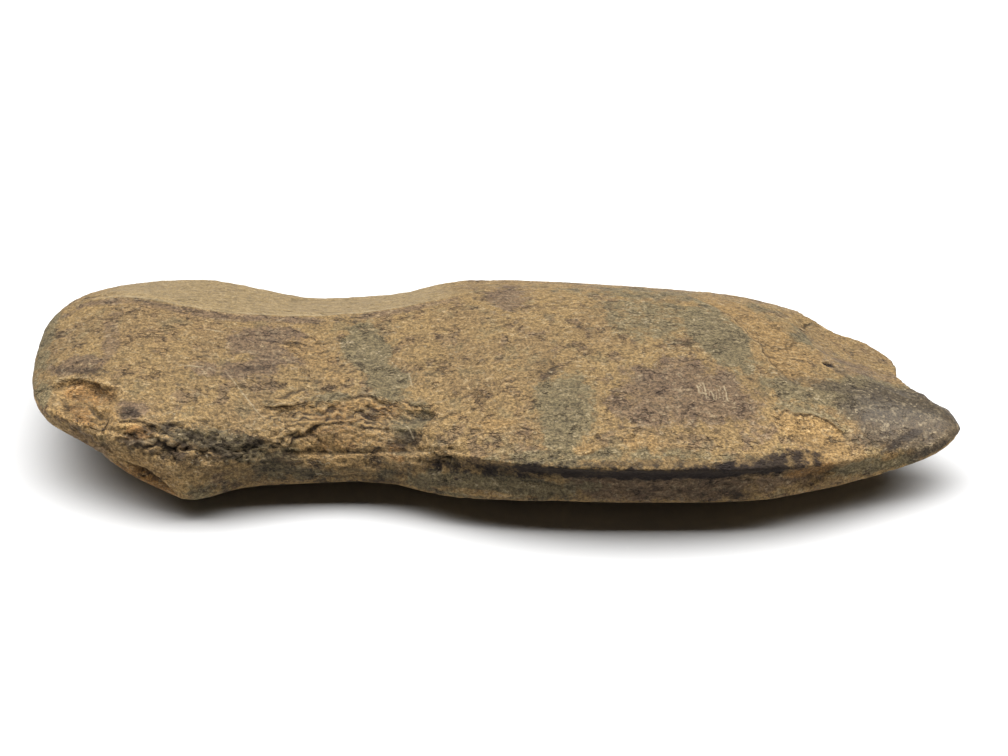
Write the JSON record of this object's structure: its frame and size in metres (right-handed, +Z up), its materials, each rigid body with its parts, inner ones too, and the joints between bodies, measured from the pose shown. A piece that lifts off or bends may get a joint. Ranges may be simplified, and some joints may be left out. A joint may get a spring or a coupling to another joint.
{
  "type": "polished stone axe",
  "caption": "Waisted axe head of ground and polished stone: rounded butt, narrowed waist for a haft, and a wide blade tapering to a bit whose corner is broken away.",
  "frame": {"origin": "centre of the bounding box, at the level of the surface that the stone lies on", "axes": "+X from the butt to the tip of the bit, +Y from the squared near side to the bevelled far side, +Z up, out of the worked face"},
  "size_m": [0.18, 0.063, 0.0237],
  "materials": {
    "stone": "ground and once polished, worn to a fine pitted matt with soft gloss on the bit and the bevel"
  },
  "bodies": {
    "root": {"axe_head": "stone"}
  },
  "joints": []
}
